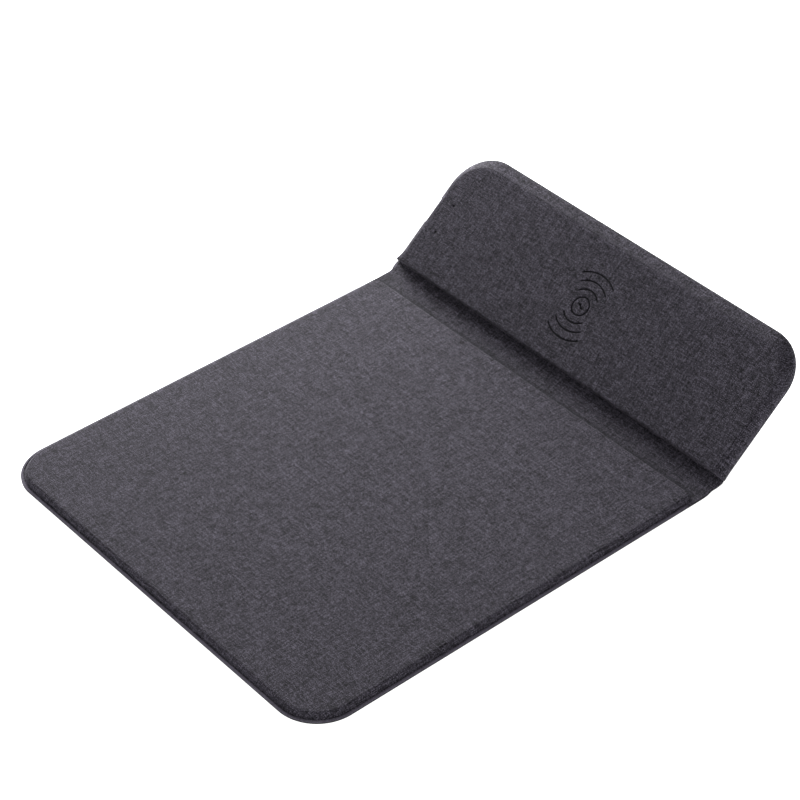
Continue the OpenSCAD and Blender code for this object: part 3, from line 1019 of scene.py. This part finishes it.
def pressed_and_sealed(made, heather_and_shade, lit):
    """The heathered colour, made paler along the rim as a painted highlight, and near black where the charging
    mark is pressed and where shade is painted behind the pad and in the light holes.
    """
    mark_shade_and_rim_light = made.add("SeparateXYZ", {0: made.add("UVMap", {}, uv_map="pressed").outputs[0]})
    pressed, rim_light = mark_shade_and_rim_light.outputs[0], mark_shade_and_rim_light.outputs[1]
    # Painted highlight along the rim: paler copies of the cloth's colour
    rim_light_tint = made.ramp(lit, [(0.0, shade(CLOTH_COLOUR, 1.3)), (1.0, shade(CLOTH_COLOUR, 3.4))])
    colour = made.mix_colours(rim_light, heather_and_shade, rim_light_tint)
    return made.mix_colours(made.sum("MULTIPLY", pressed, 0.95), colour, MARK_AND_SHADE_COLOUR)


def woven_cloth():
    """A plain weave of heathered threads, with painted shade towards their edges, on the cloth's flat coordinates.
    """
    made = Finish("woven_cloth")
    flat = made.add("UVMap", {}, uv_map="flat").outputs[0]
    threads = made.add("VectorMath", {0: flat, "Scale": 1 / (THREAD * MM)}, operation="SCALE").outputs[0]
    split = made.add("SeparateXYZ", {0: threads})
    height, tone = weave(made, split.outputs[0], split.outputs[1])
    # Painted shade: each thread's tone is darkened towards its edges, where the weave dips
    lit = made.sum("MULTIPLY", tone, made.span(height, 0.4, 1.0))
    heather_and_shade = made.ramp(lit, [
        (0.08, shade(CLOTH_COLOUR, 0.1)),
        (0.42, shade(CLOTH_COLOUR, 0.95)),
        (0.87, shade(CLOTH_COLOUR, 3.6)),
    ])
    made.bump(height, 0.45, 0.14)
    return made.set(
        Base_Color=pressed_and_sealed(made, heather_and_shade, lit),
        Roughness=made.span(tone, 0.82, 0.97),
        Sheen_Weight=0.04,
        Sheen_Roughness=0.45,
        Specular_IOR_Level=0.1,
    )


def grained_sheet():
    """Black leatherette with a pebbled grain, on the sheet's flat coordinates."""
    made = Finish("grip_sheet")
    flat = made.add("UVMap", {}, uv_map="flat").outputs[0]
    warp = made.add("TexNoise", {"Vector": flat, "Scale": 500.0}).outputs["Color"]
    bent = made.mix_colours(0.0006, flat, warp)
    pebbles = made.add("TexVoronoi", {"Vector": bent, "Scale": 900.0}, feature="DISTANCE_TO_EDGE")
    cells = pebbles.outputs["Distance"]
    crease_shade = made.span(cells, 0.0, 1.0)
    worn = made.noise(flat, 60.0, 4.0)
    # Painted shade: the colour is darker towards the creases between the pebbles, and varies with a worn noise
    colour = made.ramp(made.sum("MULTIPLY_ADD", crease_shade, 1.2, made.span(worn, -0.1, 0.35)), [
        (0.0, (0.010, 0.010, 0.011)),
        (0.6, (0.030, 0.030, 0.033)),
        (1.0, (0.045, 0.045, 0.048)),
    ])
    made.bump(made.sum("MINIMUM", cells, 0.25), 0.6, 0.5)
    return made.set(Base_Color=colour, Roughness=made.span(worn, 0.6, 0.8), Specular_IOR_Level=0.2)


def grained(name, colour, grain, spread=0.3, rough=(0.4, 0.6), bump=0.2, depth=0.05, stretch=(1, 1, 1),
            **settings):
    """A material whose colour, roughness and height vary with a grain, in millimetres."""
    made = Finish(name)
    place = made.add("TexCoord", {}).outputs["Object"]
    scaled = made.add("Mapping", {"Vector": place, "Scale": stretch}).outputs[0]
    fine = made.noise(scaled, 1 / (grain * MM), 3.0)
    broad = made.noise(scaled, 1 / (12 * grain * MM), 2.0)
    amount = made.sum("ADD", made.sum("MULTIPLY", fine, 0.6), made.sum("MULTIPLY", broad, 0.4))
    dark, light = shade(colour, 1 - spread), shade(colour, 1 + spread)
    tint = made.ramp(amount, [(0.3, dark), (0.5, colour), (0.7, light)])
    made.bump(fine, bump, depth)
    return made.set(Base_Color=tint, Roughness=made.span(amount, *rough), **settings)


def circuit_board():
    """Green solder mask over copper tracks and round pads."""
    made = Finish("board")
    place = made.add("TexCoord", {}).outputs["Object"]
    tracks = made.add("TexVoronoi", {"Vector": place, "Scale": 450.0}, feature="DISTANCE_TO_EDGE")
    mask = made.sum("LESS_THAN", tracks.outputs["Distance"], 0.09)
    cloudy = made.noise(place, 900.0, 3.0)
    under = made.ramp(cloudy, [(0.3, (0.012, 0.085, 0.035)), (0.7, (0.020, 0.120, 0.050))])
    colour = made.mix_colours(mask, under, (0.045, 0.21, 0.09, 1))
    made.bump(mask, 0.3, 0.04)
    return made.set(Base_Color=colour, Roughness=made.span(cloudy, 0.25, 0.4))


def dress(obj, material):
    obj.data.materials.clear()
    obj.data.materials.append(material)


BLACK = (0.022, 0.022, 0.024)
MATERIALS = {
    "woven_cloth": woven_cloth(),
    "grip_sheet": grained_sheet(),
    "core_board": grained("core_board", (0.030, 0.030, 0.034), 0.5, rough=(0.8, 0.95),
                          bump=0.7, depth=0.3),
    "foam": grained("foam", (0.05, 0.05, 0.055), 0.35, rough=(0.85, 0.95), bump=0.8, depth=0.25),
    "shell_plastic": grained("shell_plastic", BLACK, 0.18, spread=0.18, rough=(0.42, 0.6),
                             bump=0.35, depth=0.03),
    "copper": grained("copper", (0.62, 0.26, 0.10), 0.25, rough=(0.22, 0.38), bump=0.15, Metallic=1.0),
    "ferrite": grained("ferrite", (0.035, 0.033, 0.033), 0.2, rough=(0.45, 0.65), bump=0.4, depth=0.04),
    "board": circuit_board(),
    "chip_resin": grained("chip_resin", (0.016, 0.016, 0.018), 0.08, spread=0.35, rough=(0.4, 0.6),
                          bump=0.3),
    "ceramic": grained("ceramic", (0.30, 0.20, 0.11), 0.15, rough=(0.25, 0.45), bump=0.15),
    "bright_steel": grained("bright_steel", (0.52, 0.53, 0.55), 0.12, spread=0.15, rough=(0.22, 0.42),
                            bump=0.12, depth=0.02, stretch=(1, 8, 8), Metallic=1.0),
    "magnet_plating": grained("magnet_plating", (0.58, 0.58, 0.57), 0.6, spread=0.08, rough=(0.08, 0.2),
                              bump=0.05, depth=0.02, Metallic=1.0),
    "light_resin": grained("light_resin", (0.72, 0.69, 0.55), 0.3, spread=0.15, rough=(0.2, 0.35),
                           bump=0.1),
    "clear_plastic": grained("clear_plastic", (0.008, 0.008, 0.009), 0.4, spread=0.3, rough=(0.25, 0.4),
                             Transmission_Weight=0.2),
    "foot_rubber": grained("foot_rubber", (0.018, 0.018, 0.019), 0.3, rough=(0.75, 0.92),
                           bump=0.5, depth=0.08),
}
for subpart in frame["record"]["subparts"]:
    dress(frame["nodes"][subpart["node"]], MATERIALS[subpart["material_slot"]])


# ---- Cloth and grip sheets in place, and the padding, flap skin and foot on their bodies ----
UPWARD = Vector((0, 0, 1))
mat_cloth = build("mat_cloth", mat_cloth_sheet(), CLOTH, UPWARD)
panel_cloth = build("panel_cloth", panel_cloth_sheet(), CLOTH, UPWARD)
mat_grip = build("mat_grip", mat_grip_sheet(), GRIP_THICKNESS, UPWARD)
panel_grip = build("panel_grip", panel_grip_sheet(), GRIP_THICKNESS, UPWARD)

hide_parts("mat_cover", "strip_cover")
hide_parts("panel_cover")
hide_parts("mat_backing", "strip_backing")
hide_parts("panel_backing")
mat_foam = build("mat_foam", mat_foam_sheet(), 0, UPWARD)
face_foam = build("face_foam", face_foam_sheet(), 0, UPWARD)
flap_skin = build("flap_skin", prop_skin_sheet(), SKIN_THICKNESS, PROP_OUT)
flap_foot = build("flap_foot", prop_foot_sheet(), 0, UPWARD)
for piece, node, body, material in (
    (mat_foam, "mat_core", "mat", "core_board"),
    (face_foam, "face_pad", "charging_panel", "foam"),
    (flap_skin, "prop_skin", "prop", "grip_sheet"),
    (flap_foot, "prop_foot", "prop", "foot_rubber"),
):
    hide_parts(node)
    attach(piece, body)
    dress(piece, MATERIALS[material])
for piece in (mat_cloth, mat_grip):
    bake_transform(piece)
for piece in (panel_cloth, panel_grip):
    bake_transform(piece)
for piece, material in ((mat_cloth, "woven_cloth"), (panel_cloth, "woven_cloth"),
                        (mat_grip, "grip_sheet"), (panel_grip, "grip_sheet")):
    dress(piece, MATERIALS[material])


# ---- Floor, light and camera ----
def plane(name, half, level):
    mesh = bpy.data.meshes.new(name)
    corners = [(-half, -half, level), (half, -half, level), (half, half, level), (-half, half, level)]
    mesh.from_pydata(corners, [], [(0, 1, 2, 3)])
    obj = bpy.data.objects.new(name, mesh)
    bpy.context.scene.collection.objects.link(obj)
    return obj


def add_light(name, place, target, size, power):
    light = bpy.data.lights.new(name, "AREA")
    light.size = size
    light.energy = power
    obj = bpy.data.objects.new(name, light)
    bpy.context.scene.collection.objects.link(obj)
    obj.location = place
    obj.rotation_euler = (Vector(target) - Vector(place)).to_track_quat("-Z", "Y").to_euler()


FLOOR_HALF = 30
FLOOR_LEVEL = -0.0002
floor = plane("floor", FLOOR_HALF, FLOOR_LEVEL)
dress(floor, grained("pale_floor", (0.93, 0.93, 0.93), 60, spread=0.01, rough=(0.8, 0.9), bump=0.0,
                     Emission_Color=(1, 1, 1, 1), Emission_Strength=1.0))

world = bpy.data.worlds.new("studio")
bpy.context.scene.world = world
world.use_nodes = True
world.node_tree.nodes["Background"].inputs["Color"].default_value = (1, 1, 1, 1)
world.node_tree.nodes["Background"].inputs["Strength"].default_value = 0.5
add_light("key", place=(-0.7, 0.27, 0.22), target=(-0.05, 0, 0), size=0.3, power=16)
bpy.context.scene.view_settings.view_transform = "Standard"

CAMERA_PLACE = Vector((0.6569, -0.5467, 0.7149))
AZIMUTH, ELEVATION, ROLL = (math.radians(a) for a in (50.37, 38.74, -1.09))
away = Vector((math.sin(AZIMUTH), -math.cos(AZIMUTH), 0))
back = away * math.cos(ELEVATION) + Vector((0, 0, math.sin(ELEVATION)))
right = Vector((math.cos(AZIMUTH), math.sin(AZIMUTH), 0))
up = back.cross(right)
rolled_right = right * math.cos(ROLL) + up * math.sin(ROLL)
rolled_up = up * math.cos(ROLL) - right * math.sin(ROLL)
lens = bpy.data.cameras.new("camera")
lens.lens = 116.96
lens.sensor_width = 36
camera = bpy.data.objects.new("camera", lens)
bpy.context.scene.collection.objects.link(camera)
axes = Matrix((rolled_right, rolled_up, back)).transposed()
camera.matrix_world = Matrix.Translation(CAMERA_PLACE) @ axes.to_4x4()
bpy.context.scene.camera = camera
